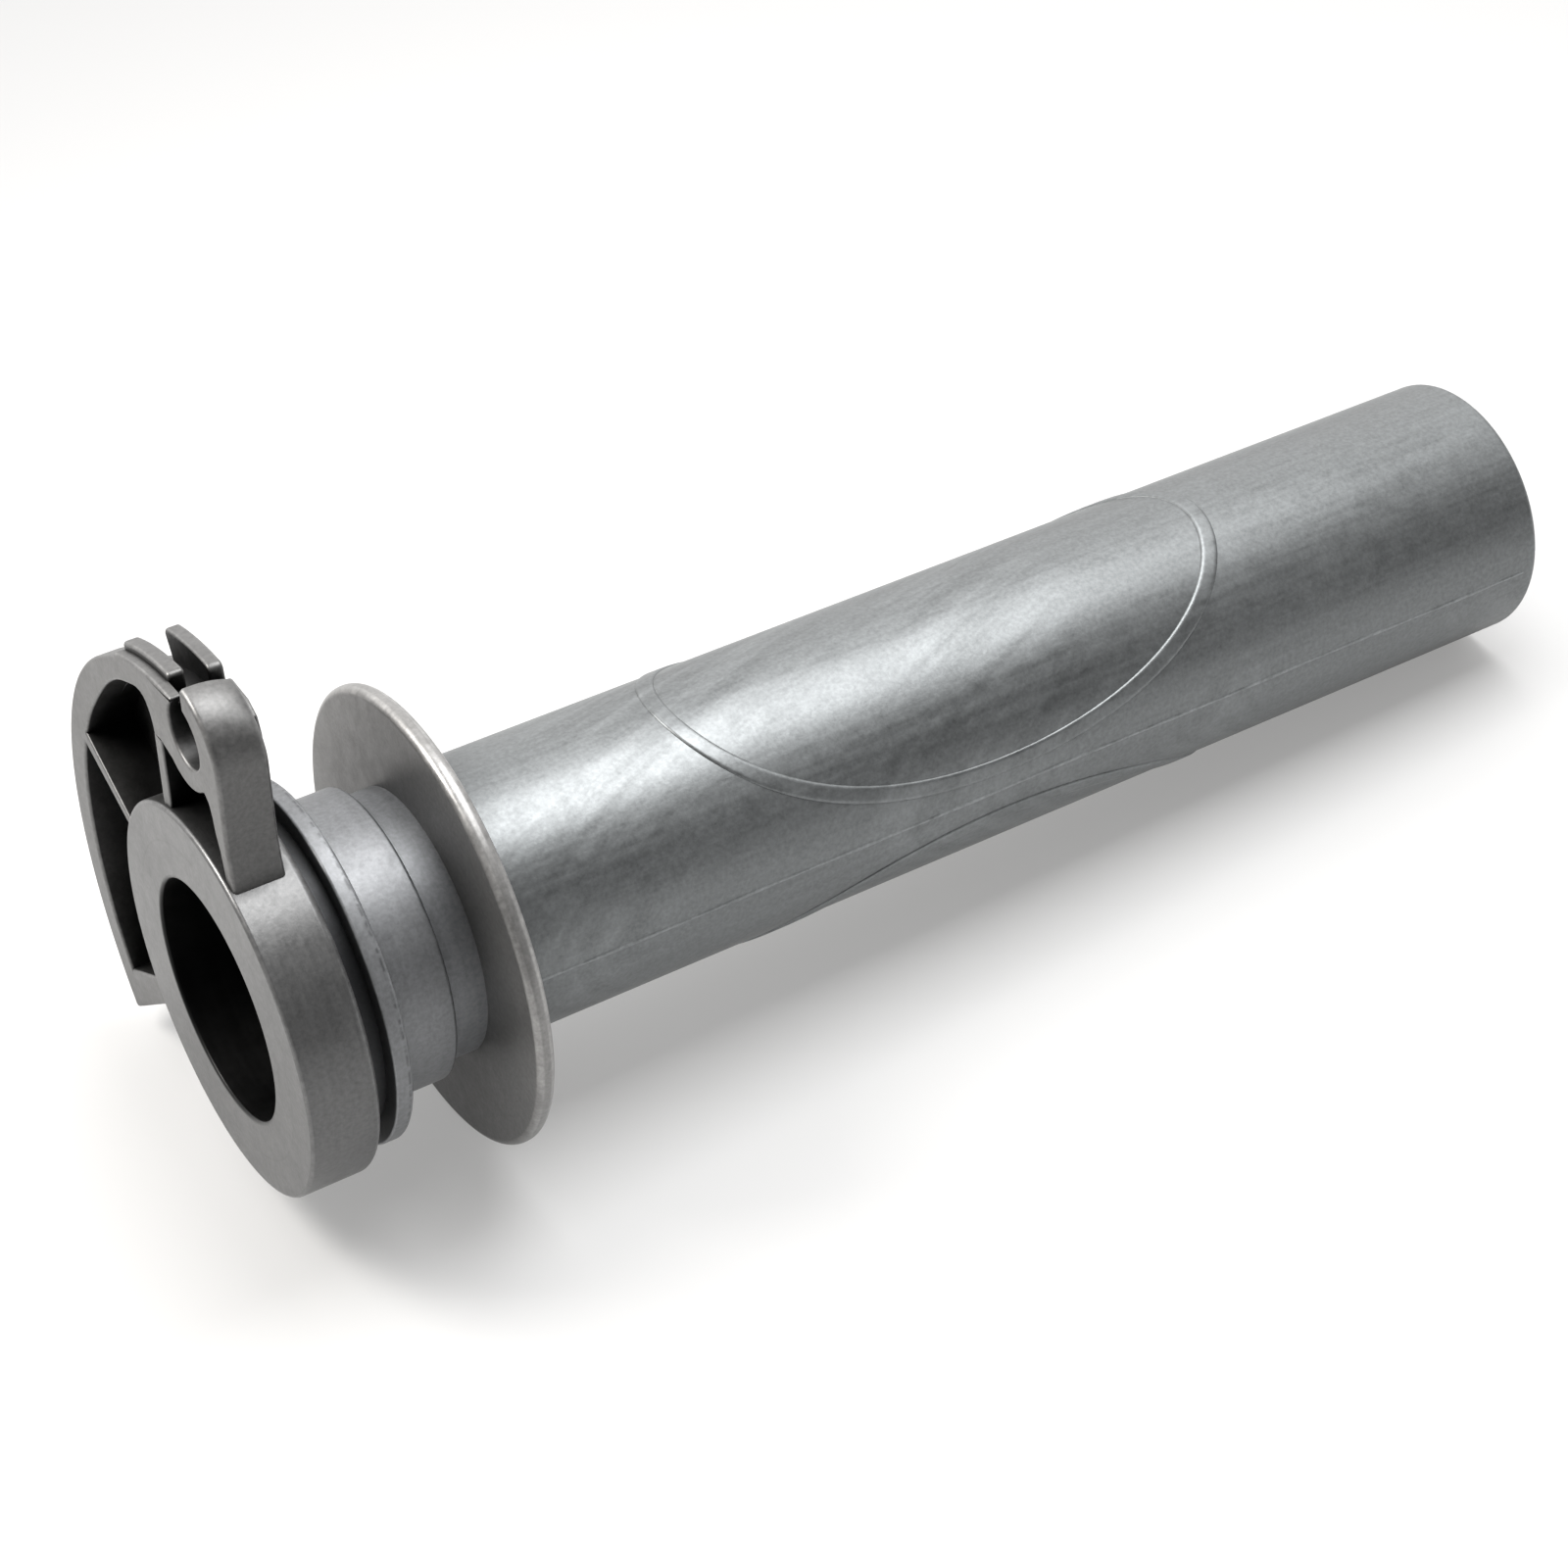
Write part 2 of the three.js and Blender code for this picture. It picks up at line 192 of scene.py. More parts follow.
def link_piece(name, mesh, nodes):
    """Puts a finished piece in the scene, in place of its CAD nodes."""
    obj = bpy.data.objects.new(name, mesh)
    bpy.context.scene.collection.objects.link(obj)
    normals = obj.modifiers.new("normals", "WEIGHTED_NORMAL")
    normals.keep_sharp = True
    normals.weight = 90
    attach(obj, "root")
    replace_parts(obj, *nodes)
    return obj


def finish_mesh(bm, name, sharp_degrees=32.0, worn_and_sheen=(), amount=1.0):
    """Makes the mesh, with hard edges kept hard. amount is how much the points in worn are
    lightened: partly real edge wear, partly a painted highlight.
    """
    bm.verts.index_update()
    rubbed_and_sheen = {v.index for v in worn_and_sheen}
    layer = bm.verts.layers.float.new("wear_and_sheen")
    for v in bm.verts:
        v[layer] = amount if v.index in rubbed_and_sheen else 0.0
    bmesh.ops.remove_doubles(bm, verts=bm.verts, dist=1e-6)
    bmesh.ops.recalc_face_normals(bm, faces=bm.faces)
    limit = math.radians(sharp_degrees)
    for face in bm.faces:
        face.smooth = True
    for edge in bm.edges:
        if len(edge.link_faces) == 2:
            edge.smooth = edge.calc_face_angle(0.0) < limit
    mesh = bpy.data.meshes.new(name)
    bm.to_mesh(mesh)
    bm.free()
    return mesh


def fillet(points, index_radius, steps=6):
    """Rounds chosen corners of a closed (x, r) outline.

    index_radius maps a corner's number to its radius. Gives (x, r, worn), where worn is 1 on
    the crown of a rounding, which is lightened as edge wear and a painted highlight.
    """
    out = []
    n = len(points)
    for i, p in enumerate(points):
        radius = index_radius.get(i)
        if not radius:
            out.append((p[0], p[1], 0))
            continue
        here = Vector(p)
        before = (Vector(points[i - 1]) - here).normalized()
        after = (Vector(points[(i + 1) % n]) - here).normalized()
        half = before.angle(after) / 2
        reach = radius / math.tan(half)
        centre = here + (before + after).normalized() * (radius / math.sin(half))
        a = here + before * reach - centre
        b = here + after * reach - centre
        turn = a.angle(b)
        for k in range(steps + 1):
            t = k / steps
            q = centre + (a * math.sin((1 - t) * turn) + b * math.sin(t * turn)) / math.sin(turn)
            out.append((q.x, q.y, int(0.2 < t < 0.8)))
    return out


def turned(name, outline, nodes, segments=240):
    """Turns a closed outline of (x, r, worn) about the X axis."""
    bm = bmesh.new()
    rings, worn_and_sheen = [], []
    for k in range(segments):
        a = 2 * math.pi * k / segments
        ring = [bm.verts.new((x * MM, r * MM * math.cos(a), r * MM * math.sin(a)))
                for x, r, _ in outline]
        worn_and_sheen += [v for v, point in zip(ring, outline) if point[2]]
        rings.append(ring)
    count = len(outline)
    for k in range(segments):
        one, two = rings[k], rings[(k + 1) % segments]
        for i in range(count):
            j = (i + 1) % count
            bm.faces.new((one[i], one[j], two[j], two[i]))
    return link_piece(name, finish_mesh(bm, name, worn_and_sheen=worn_and_sheen), nodes)


def round_corners(outline, flags, radius):
    """Rounds an outline's outward corners where both edges are free."""
    n = len(outline)
    turn = side_of(outline)
    points, marks = [], []
    for i in range(n):
        here = Vector(outline[i])
        a = here - Vector(outline[i - 1])
        b = Vector(outline[(i + 1) % n]) - here
        bend = math.degrees(math.atan2(a.x * b.y - a.y * b.x, a.dot(b))) * turn
        free = (flags[i - 1][0] and flags[i][0]) or (flags[i - 1][1] and flags[i][1])
        if bend < SOFT_TURN or not free:
            points.append(outline[i])
            marks.append(flags[i])
            continue
        half = (math.pi - math.radians(bend)) / 2
        reach = min(radius / math.tan(half), EDGE_SHARE * a.length, EDGE_SHARE * b.length)
        r = reach * math.tan(half)
        inward = (b.normalized() - a.normalized()).normalized()
        centre = here + inward * (r / math.sin(half))
        start = here - a.normalized() * reach - centre
        end = here + b.normalized() * reach - centre
        for k in range(CORNER_STEPS + 1):
            t = k / CORNER_STEPS
            q = centre + start.lerp(end, t).normalized() * r
            points.append((q.x, q.y))
            marks.append(flags[i - 1] if k == 0 else flags[i])
    return points, marks


def rounded_ring(outline, widths, turn, x, inward, phi):
    """One ring of a plate's rounded rim. phi is 0 on the flat and a right angle on the side."""
    ring = []
    n = len(outline)
    for i in range(n):
        here = Vector(outline[i])
        before = (here - Vector(outline[i - 1])).normalized()
        after = (Vector(outline[(i + 1) % n]) - here).normalized()
        n1 = Vector((-before.y, before.x)) * turn
        n2 = Vector((-after.y, after.x)) * turn
        w1, w2 = widths[i - 1], widths[i]
        if w1 and w2:
            w = (w1 + w2) / 2
            move = (n1 + n2) / max(1 + n1.dot(n2), 0.35)
        elif w1:
            w = w1
            along = after.dot(n1)
            move = after / along if along > 0.3 else n1
        elif w2:
            w = w2
            along = -before.dot(n2)
            move = -before / along if along > 0.3 else n2
        else:
            w = 0.0
            move = Vector((0, 0))
        q = here + move * w * (1 - math.sin(phi))
        ring.append((x + inward * w * (1 - math.cos(phi)), q.x, q.y))
    return ring


def plate(name, segments, x0, x1, nodes, edge=EDGE, shape=None, stations=1, corner=0.45):
    """Extrudes an outline along X and rounds its free edges.

    segments is a list of (points, front, back). front and back say if the edges from the
    segment's first point up to the next segment are rounded on the plate's front and back:
    False, True for the width in edge, or a width. shape moves a finished point (x, y, z), in
    millimetres, and stations cuts the depth into steps for it. corner is the radius of the
    outline's own free corners.
    """
    outline, flags = [], []
    for points, front, back in segments:
        for p in points:
            mark = tuple(edge if side is True else float(side) for side in (front, back))
            if outline and (Vector(p) - Vector(outline[-1])).length < SAME_POINT:
                flags[-1] = mark
                continue
            outline.append(p)
            flags.append(mark)
    if (Vector(outline[0]) - Vector(outline[-1])).length < SAME_POINT:
        outline.pop()
        flags.pop()
    outline, flags = round_corners(outline, flags, corner)
    n = len(outline)
    turn = side_of(outline)
    phis = [math.pi / 2 * k / RIM_STEPS for k in range(RIM_STEPS + 1)]
    first = [rounded_ring(outline, [f[0] for f in flags], turn, x0, 1, phi) for phi in phis]
    last = [rounded_ring(outline, [f[1] for f in flags], turn, x1, -1, phi) for phi in phis]
    between = []
    for k in range(1, stations):
        t = k / stations
        between.append([(a[0] + (b[0] - a[0]) * t, a[1], a[2])
                        for a, b in zip(first[-1], last[-1])])
    levels = first + between + last[::-1]
    bm = bmesh.new()
    rows = []
    for level in levels:
        if shape:
            level = [shape(*p) for p in level]
        rows.append([bm.verts.new(Vector(p) * MM) for p in level])
    bm.faces.new(rows[0])
    bm.faces.new(list(reversed(rows[-1])))
    for one, two in zip(rows, rows[1:]):
        for i in range(n):
            j = (i + 1) % n
            bm.faces.new((one[j], one[i], two[i], two[j]))
    # Points on the rounded rims, lightened as edge wear and a painted highlight
    worn_and_sheen = []
    for k in range(1, RIM_STEPS):
        worn_and_sheen += [v for v, f in zip(rows[k], flags) if f[0]]
        worn_and_sheen += [v for v, f in zip(rows[-1 - k], flags) if f[1]]
    return link_piece(name, finish_mesh(bm, name, worn_and_sheen=worn_and_sheen), nodes)


# ---- Materials -------------------------------------------------------------------------

def moulded_plastic(name, base, along, rough, metal, hollows, reach=10.0, bore_painted_shade=False,
                    scratch=False):
    """Satin metallic-grey moulded plastic.

    along is the way its fine streaks run: "X" along the sleeve, which is also scuffed,
    "ROUND" on turned parts, and None on the cam. Shade is painted into the hollows: a hollow
    is darkest where its openness is the first value in hollows, and clear from the second
    value up. reach says how far it looks, in millimetres. bore_painted_shade paints shade on the
    bore's wall, nearly black, and scratch adds a dotted score line round the collar and a faint
    turned line on the drum's face. Points with wear are lightened, partly as real edge wear
    and partly as a painted highlight.
    """
    mat = bpy.data.materials.new(name)
    mat.use_nodes = True
    tree = mat.node_tree
    tree.nodes.clear()
    link = tree.links.new
    out = tree.nodes.new("ShaderNodeOutputMaterial")
    bsdf = tree.nodes.new("ShaderNodeBsdfPrincipled")
    bsdf.inputs["Metallic"].default_value = metal
    bsdf.inputs["IOR"].default_value = 1.5
    link(bsdf.outputs[0], out.inputs[0])
    coord = tree.nodes.new("ShaderNodeTexCoord").outputs["Object"]

    def noise(scale, detail, roughness, stretch=(1, 1, 1), distortion=0.0, turned_by=0.0):
        mapping = tree.nodes.new("ShaderNodeMapping")
        mapping.vector_type = "TEXTURE"
        mapping.inputs["Scale"].default_value = [1.0 / v for v in stretch]
        mapping.inputs["Rotation"].default_value = (0.0, 0.0, math.radians(turned_by))
        link(coord, mapping.inputs[0])
        tex = tree.nodes.new("ShaderNodeTexNoise")
        tex.inputs["Scale"].default_value = scale
        tex.inputs["Detail"].default_value = detail
        tex.inputs["Roughness"].default_value = roughness
        tex.inputs["Distortion"].default_value = distortion
        link(mapping.outputs[0], tex.inputs["Vector"])
        return tex.outputs["Fac"]

    def remap(value, a, b, c, d):
        node = tree.nodes.new("ShaderNodeMapRange")
        for key, v in (("From Min", a), ("From Max", b), ("To Min", c), ("To Max", d)):
            node.inputs[key].default_value = v
        link(value, node.inputs["Value"])
        return node.outputs["Result"]

    def calc(op, *values):
        node = tree.nodes.new("ShaderNodeMath")
        node.operation = op
        for i, v in enumerate(values):
            if isinstance(v, (int, float)):
                node.inputs[i].default_value = v
            else:
                link(v, node.inputs[i])
        return node.outputs[0]

    def total(first, *rest):
        for v in rest:
            first = calc("ADD", first, v)
        return first

    stretch = {"X": (0.04, 1, 1), "ROUND": (1, 0.06, 0.06), None: (1, 1, 1)}[along]
    cloud = noise(60.0, 4.0, 0.6)
    mottle = noise(520.0, 4.0, 0.65, distortion=0.4)
    speck = noise(2400.0, 2.0, 0.6)
    streak = noise(1300.0, 3.0, 0.6, stretch)

    axes = tree.nodes.new("ShaderNodeSeparateXYZ")
    link(coord, axes.inputs[0])
    radius = calc("SQRT", calc("ADD", calc("MULTIPLY", axes.outputs[1], axes.outputs[1]),
                               calc("MULTIPLY", axes.outputs[2], axes.outputs[2])))

    lined = 0.09                # how strongly the streaks show
    tone = total(remap(cloud, 0.3, 0.7, -0.04, 0.04), remap(mottle, 0.3, 0.7, -0.05, 0.05),
                 remap(speck, 0.3, 0.7, -0.13, 0.13),
                 remap(streak, 0.3, 0.7, -lined, lined), 1.0)
    if along == "X":
        scuff = noise(1000.0, 3.0, 0.55, (0.05, 1, 0.2), turned_by=20.0)
        patch = remap(noise(42.0, 2.0, 0.5), 0.48, 0.62, 0.0, 1.0)
        tone = calc("ADD", tone, calc("MULTIPLY", patch, remap(scuff, 0.35, 0.65, -0.1, 0.15)))
    # Painted shade: the colour darkens in hollows by their openness, standing in for the shade
    # that falls there
    hollow = tree.nodes.new("ShaderNodeAmbientOcclusion")
    hollow.samples = 8
    hollow.inputs["Distance"].default_value = reach * MM
    painted_shade = remap(hollow.outputs["AO"], *hollows, 0.03, 1.0)
    # Worn edges are lightened: partly real edge wear, partly a painted highlight where rounded
    # edges catch the light
    rim = tree.nodes.new("ShaderNodeAttribute")
    rim.attribute_name = "wear_and_sheen"
    wear_and_sheen = total(1.0, calc("MULTIPLY", rim.outputs["Fac"], remap(mottle, 0.35, 0.65, 0.12, 0.5)))
    factor = calc("MULTIPLY", calc("MULTIPLY", tone, painted_shade), wear_and_sheen)
    # Painted shade: the bore's wall is darkened nearly to black
    if bore_painted_shade:
        factor = calc("MULTIPLY", factor,
                      remap(radius, (BORE_R + 0.1) * MM, (BORE_R + 0.4) * MM, 0.04, 1.0))
    if scratch:
        dots = noise(1.0, 1.0, 0.5, (900.0, 1500.0, 1500.0))
        ring_at = remap(calc("ABSOLUTE", calc("SUBTRACT", axes.outputs[0], SCORE_X * MM)),
                        0.0, 0.2 * MM, 1.0, 0.0)
        mark = calc("MULTIPLY", ring_at, remap(dots, 0.42, 0.58, 0.0, 0.5))
        arc_at = remap(calc("ABSOLUTE", calc("SUBTRACT", radius, TURNED_LINE_R * MM)),
                       0.0, 0.14 * MM, 0.16, 0.0)
        front = remap(axes.outputs[0], 0.5 * MM, 0.8 * MM, 1.0, 0.0)
        mark = calc("ADD", mark, calc("MULTIPLY", arc_at, front))
        factor = calc("MULTIPLY", factor, calc("SUBTRACT", 1.0, mark))
    colour = tree.nodes.new("ShaderNodeVectorMath")
    colour.operation = "SCALE"
    colour.inputs[0].default_value = base
    link(factor, colour.inputs["Scale"])
    link(colour.outputs[0], bsdf.inputs["Base Color"])

    link(total(remap(mottle, 0.3, 0.7, -0.05, 0.05), remap(streak, 0.3, 0.7, -0.035, 0.035),
               remap(cloud, 0.3, 0.7, -0.03, 0.03), rough), bsdf.inputs["Roughness"])

    height = total(calc("MULTIPLY", speck, 0.5), calc("MULTIPLY", streak, 4.0 * lined),
                   calc("MULTIPLY", mottle, 0.6))
    bump = tree.nodes.new("ShaderNodeBump")
    bump.inputs["Strength"].default_value = 0.3
    bump.inputs["Distance"].default_value = 0.05 * MM
    link(height, bump.inputs["Height"])
    link(bump.outputs[0], bsdf.inputs["Normal"])
    return mat


MAT_FACE = moulded_plastic("cam_plastic", (0.126, 0.1255, 0.1245), None, 0.43, 0.68, (0.5, 0.9))
MAT_RING = moulded_plastic("drum_ring_plastic", (0.125, 0.1255, 0.126), "ROUND", 0.38, 0.68,
                           (0.35, 0.8), bore_painted_shade=True, scratch=True)
MAT_TURNED = moulded_plastic("journal_plastic", (0.2, 0.205, 0.212), "ROUND", 0.48, 0.7,
                             (0.1, 0.6), bore_painted_shade=True)
# Painted shade: the neck has a much darker base than the same plastic elsewhere, standing in for
# the shade in its narrow groove
MAT_NECK_PAINTED_SHADE = moulded_plastic("neck_painted_shade_plastic", (0.05, 0.052, 0.056), "ROUND", 0.5, 0.5,
                           (0.1, 0.6), bore_painted_shade=True)
# Painted light: the rear journal is a lighter copy of the journal plastic with less painted
# shade, offsetting the shade beside the flange
MAT_REAR_PAINTED_LIGHT = moulded_plastic("rear_journal_painted_light_plastic", (0.25, 0.257, 0.268), "ROUND", 0.48, 0.7,
                           (0.0, 0.42), bore_painted_shade=True)
MAT_COLLAR = moulded_plastic("collar_plastic", (0.2, 0.205, 0.212), "ROUND", 0.46, 0.6,
                             (0.0, 0.5), 4.0, bore_painted_shade=True, scratch=True)
# Painted light: the flange's base is lighter than the drum's, lightening its shaded face
MAT_FLANGE_PAINTED_LIGHT = moulded_plastic("flange_painted_light_plastic", (0.24, 0.237, 0.233), "ROUND", 0.38, 0.64,
                             (0.08, 0.66), 22.0, bore_painted_shade=True)
MAT_SLEEVE = moulded_plastic("sleeve_plastic", (0.178, 0.187, 0.190), "X", 0.43, 0.8,
                             (0.3, 0.8), bore_painted_shade=True)


def dress(obj, mat):
    obj.data.materials.clear()
    obj.data.materials.append(mat)
    return obj


# ---- Turned sections -------------------------------------------------------------------

def section(x0, x1, r):
    return [(x0, BORE_R), (x0, r), (x1, r), (x1, BORE_R)]


sleeve = [(FLANGE_X1, BORE_R), (FLANGE_X1, TUBE_R + 0.5), (FLANGE_X1 + 0.14, TUBE_R + 0.22),
          (FLANGE_X1 + 0.32, TUBE_R + 0.06), (FLANGE_X1 + 0.6, TUBE_R), (TUBE_X1, TUBE_R),
          (TUBE_X1, BORE_R)]

# Each piece's name, CAD node, outline with its rounded corners, facets round it and material.
TURNED = [
    ("drum_ring_shell", "drum_ring",
     fillet(section(RING_X0, RING_X1, RING_R), {0: 0.3, 1: 0.4, 2: 0.8}), 240, MAT_RING),
    ("drum_neck_core", "drum_neck",
     fillet(section(RING_X1, NECK_X1, NECK_R), {}), 240, MAT_NECK_PAINTED_SHADE),
    ("rear_collar_disc", "rear_collar",
     fillet(section(NECK_X1, COLLAR_X1, COLLAR_R), {1: 0.25, 2: 0.4}), 240, MAT_COLLAR),
    ("front_journal_shell", "front_journal",
     fillet(section(COLLAR_X1, JOURNAL_A_X1, JOURNAL_A_R), {2: 0.35}), 240, MAT_TURNED),
    ("rear_journal_shell", "rear_journal",
     fillet(section(JOURNAL_A_X1, JOURNAL_B_X1, JOURNAL_B_R), {}), 240, MAT_REAR_PAINTED_LIGHT),
    ("grip_flange_disc", "grip_flange",
     fillet(section(JOURNAL_B_X1, FLANGE_X1, FLANGE_R), {1: 0.75, 2: 0.85}, 8), 320, MAT_FLANGE_PAINTED_LIGHT),
    ("grip_sleeve_shell", "grip_sleeve", fillet(sleeve, {5: 0.7, 6: 0.4}), 320, MAT_SLEEVE),
]
for name, node, outline, segments, mat in TURNED:
    dress(turned(name, outline, [node], segments), mat)


# ---- Cam -------------------------------------------------------------------------------

def pocket_wall(thickest, from_angle, to_angle):
    """The pocket's outer wall, which swells outwards towards the cable seat."""
    out = []
    steps = max(2, int(abs(to_angle - from_angle)))
    for i in range(steps + 1):
        a = from_angle + (to_angle - from_angle) * i / steps
        t = min(1.0, max(0.0, (a - SWELL_FROM) / (GUIDE_FROM - SWELL_FROM)))
        out.append(polar(CAM_WALL_IN + (thickest - CAM_WALL_IN) * t * t * (3 - 2 * t), a))
    return out


cam_front_wall = [
    (about_axis(CAM_R, CAM_END, GUIDE_FROM), True, True),
    (line(polar(CAM_R, GUIDE_FROM)), False, False),
    (pocket_wall(APEX_R, GUIDE_FROM, SPOKE_TO), True, False),
    (about_axis(CAM_WALL_IN, SPOKE_TO, SPOKE_FROM), False, False),
    (about_axis(CAM_WALL_IN, SPOKE_FROM, END_WEB_TOP), True, False),
    (about_axis(CAM_WALL_IN, END_WEB_TOP, CAM_END), False, False),
    (line(polar(CAM_WALL_IN, CAM_END)), True, True),
]
plate("cam_front_wall_shell", cam_front_wall, CAM_X0, GROOVE_X0, ["cam_front_wall"])

groove_floor = [
    (about_axis(GROOVE_R, CAM_END, GUIDE_FROM), False, False),
    (pocket_wall(APEX_BEHIND_R, GUIDE_FROM, CAM_END), False, False),
]
plate("cam_groove_floor_shell", groove_floor, GROOVE_X0, GROOVE_X1, ["cam_groove_floor"])

end_web = [
    (about_axis(FOOT_R, CAM_END, END_WEB_TOP), False, False),
    (line(polar(FOOT_R, END_WEB_TOP)), True, False),
    (about_axis(CAM_WALL_IN, END_WEB_TOP, CAM_END), False, False),
    (line(polar(CAM_WALL_IN, CAM_END)), True, False),
]
plate("cam_end_web_block", end_web, CAM_X0, GROOVE_X1, ["cam_end_web"])

lower_spoke = [
    (about_axis(FOOT_R, SPOKE_FROM, SPOKE_TO), False, False),
    (line(polar(FOOT_R, SPOKE_TO)), True, False),
    (about_axis(CAM_WALL_IN, SPOKE_TO, SPOKE_FROM), False, False),
    (line(polar(CAM_WALL_IN, SPOKE_FROM)), True, False),
]
plate("cam_lower_spoke_rib", lower_spoke, CAM_X0, GROOVE_X1, ["cam_lower_spoke"],
      edge=SPOKE_EDGE)

foot_z = math.sqrt(FOOT_R ** 2 - UPPER_SPOKE_MIDDLE_Y ** 2)
upper_spoke = [
    (line((UPPER_SPOKE_FOOT_Y1, foot_z)), True, False),
    (line((UPPER_SPOKE_Y1, UPPER_SPOKE_TOP)), False, False),
    (line((UPPER_SPOKE_Y0, UPPER_SPOKE_TOP)), True, False),
    (line((UPPER_SPOKE_Y0, foot_z)), False, False),
]
plate("cam_upper_spoke_rib", upper_spoke, CAM_X0, GROOVE_X1, ["cam_upper_spoke"],
      edge=SPOKE_EDGE)


def degrees_at(r, y):
    """The angle at which a circle of radius r about the handlebar axis reaches y."""
    return math.degrees(math.acos(y / r))


def seat(rim, barrel_from, front_edges, apex):
    """A layer of the cable seat, between the pocket beside it, the rim and the barrel."""
    return [
        (line((UPPER_SPOKE_Y0, UPPER_SPOKE_TOP)), False, False),
        (line((UPPER_SPOKE_Y1, UPPER_SPOKE_TOP), (7.2, 25.5), (7.42, 26.2),
              (7.75, 26.85), (8.15, 27.3), (8.6, 27.53), (9.15, 27.62), (9.85, 27.52),
              (10.75, 27.2), (11.7, 26.75)), front_edges, False),
        (line(polar(apex, GUIDE_FROM)), False, False),
        *rim,
        (arc(*NIPPLE, barrel_from, SPLIT, 6.0), front_edges, False),
        (line(on_circle(NIPPLE, SPLIT)), False, False),
        (line(on_circle(BOSS, SPLIT)), front_edges, False),
        (arc(*BOSS, SPLIT, -58, 5.0), front_edges, False),
    ]


slot_angle = math.degrees(math.acos((SLOT_Y1 - NIPPLE[0]) / NIPPLE[2]))
front_rim = [(about_axis(SEAT_R, GUIDE_FROM, degrees_at(SEAT_R, SLOT_Y1)), True, False)]
plate("cable_seat_front_wall", seat(front_rim, slot_angle, True, APEX_R), CAM_X0, SEAT_STEP_X,
      ["cable_seat_front"])

middle_rim = [
    (line(polar(CAM_R, GUIDE_FROM)), True, True),
    (about_axis(GUIDE_R, GUIDE_FROM, degrees_at(GUIDE_R, GUIDE_WALL_Y)), True, True),
    (line((GUIDE_WALL_Y - 0.2, NOTCH_Z)), False, False),
]
notch_angle = math.degrees(math.asin((NOTCH_Z - NIPPLE[1]) / NIPPLE[2]))
plate("cable_seat_middle_wall", seat(middle_rim, notch_angle, False, APEX_R), SEAT_STEP_X,
      GROOVE_X0, ["cable_seat_middle"], edge=0.3)

rear_rim = [(about_axis(GROOVE_R, GUIDE_FROM, REAR_SEAT_TO), False, False)]
plate("cable_seat_rear_wall", seat(rear_rim, 2.0, False, APEX_BEHIND_R), GROOVE_X0, GROOVE_X1,
      ["cable_seat_rear"])

TAB_STEPS = 12
tab_crest = []
for i in range(TAB_STEPS + 1):
    t = i / TAB_STEPS
    tab_crest.append(polar(GUIDE_R + (TAB_R_TO - GUIDE_R) * t,
                           GUIDE_FROM + (TAB_TO - GUIDE_FROM) * t))
guide_tab = [
    (line(polar(GROOVE_R - SINK, GUIDE_FROM)), True, True),
    (tab_crest, True, True),
    (about_axis(GROOVE_R - SINK, TAB_TO, GUIDE_FROM), False, False),
]
plate("cable_guide_tab_fin", guide_tab, GROOVE_X1, RING_X1, ["cable_guide_tab"], edge=0.3,
      corner=0.7)

back_web = [
    (about_axis(GROOVE_R, CAM_END, TAB_TO), False, True),
    (line((3.6, WEB_TOP_Z), (0.4, WEB_TOP_Z), (-1.2, WEB_TOP_Z - 0.8),
          (WEB_SIDE_Y, WEB_TOP_Z - 2.4)), False, True),
    (line((WEB_SIDE_Y, math.sqrt(FOOT_R ** 2 - WEB_SIDE_Y ** 2))), False, False),
    (about_axis(FOOT_R, degrees_at(FOOT_R, WEB_SIDE_Y), CAM_END), False, False),
]
plate("cam_back_web_plate", back_web, GROOVE_X1, RING_X1, ["cam_back_web"])

tip_angle = 90 + math.degrees(math.asin((NIPPLE[0] - SLOT_Y0) / NIPPLE[2]))
back_angle = math.degrees(math.acos((SLOT_Y0 - HOOK[0]) / HOOK[2]))
hook = [
    (arc(*NIPPLE, SPLIT, tip_angle - 360, 6.0), True, False),
    (arc(*HOOK, back_angle, 180, 4.0), 0.42, 0.5),
    (line((-6.25, 24.4), (-6.2, 21.0), (-6.4, 19.0), (-6.8, 17.2)), 0.36, 0.36),
    (line((-6.6, 16.4), (-5.2, 17.0)), False, False),
    (line((-5.1, 17.9), (-4.7, 20.3), (-4.15, 22.0), (-3.9, 23.6), (-3.55, 24.7),
          (-2.95, 25.2)), True, False),
    (arc(*BOSS, -135, SPLIT, 5.0), True, False),
    (line(on_circle(BOSS, SPLIT)), False, False),
]


def droop(x, y, z):
    """Lets the hook's crown fall away towards its back."""
    t = max(0.0, (x - DROOP_FROM_X) / (GROOVE_X1 - DROOP_FROM_X))
    up = min(1.0, max(0.0, (z - DROOP_FROM_Z) / DROOP_OVER_Z))
    return x, y, z - DROOP * t * t * up


plate("cable_hook_arm", hook, CAM_X0, GROOVE_X1, ["cable_hook"], shape=droop, stations=8,
      corner=0.6)

for obj in bpy.context.scene.objects:
    if obj.name.startswith(("cam_", "cable_")) and "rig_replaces" in obj:
        dress(obj, MAT_FACE)


# ---- Raised lines on the sleeve --------------------------------------------------------

# The band's section, as steps across it and heights above the sleeve
BAND_SECTION = [(-0.87, -0.08), (-0.85, 0.0), (-0.79, 0.075), (-0.7, 0.135), (-0.57, 0.168),
                (-0.4, 0.175), (0.4, 0.175), (0.57, 0.168), (0.7, 0.135), (0.79, 0.075),
                (0.85, 0.0), (0.87, -0.08)]
BAND_WORN_AND_SHEEN = (3, 4, 7, 8)        # the section's points on the band's two edges, lightened as edge wear and a painted highlight


